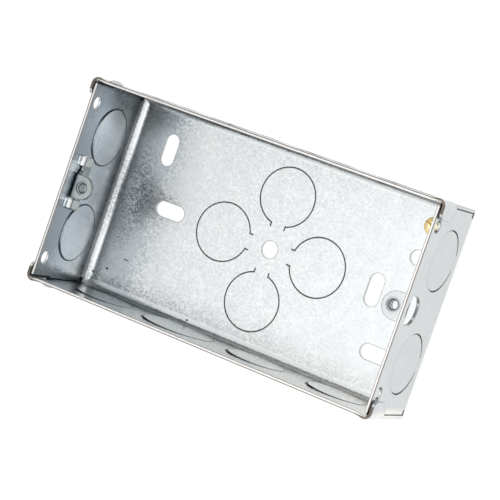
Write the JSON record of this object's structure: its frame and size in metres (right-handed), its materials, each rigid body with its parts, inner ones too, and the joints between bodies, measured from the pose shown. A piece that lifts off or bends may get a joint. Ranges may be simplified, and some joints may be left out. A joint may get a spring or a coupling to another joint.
{
  "type": "metal back box",
  "caption": "Flush back box folded from galvanised steel, with knockouts, a fixed and a sliding fixing lug and a brass earth screw.",
  "frame": {"origin": "middle of the back face, so the box stands on its back on z = 0", "axes": "+X along the box towards the fixed lug, +Y along the end walls towards the earth screw, +Z out of the open front"},
  "size_m": [0.135, 0.0742, 0.035],
  "materials": {
    "galvanised_steel": "hot dip galvanised, faint spangle",
    "lug_steel": "zinc plated",
    "brass": "bright turned"
  },
  "bodies": {
    "box": {"box_body": "galvanised_steel", "earth_screw": "brass"},
    "sliding_lug": {"adjustable_lug": "lug_steel"}
  },
  "joints": [
    {"name": "lug_slide", "type": "slide", "parent": "box", "child": "sliding_lug", "axis": [0, 1, 0], "range_m": [-0.0006, 0.003]}
  ]
}
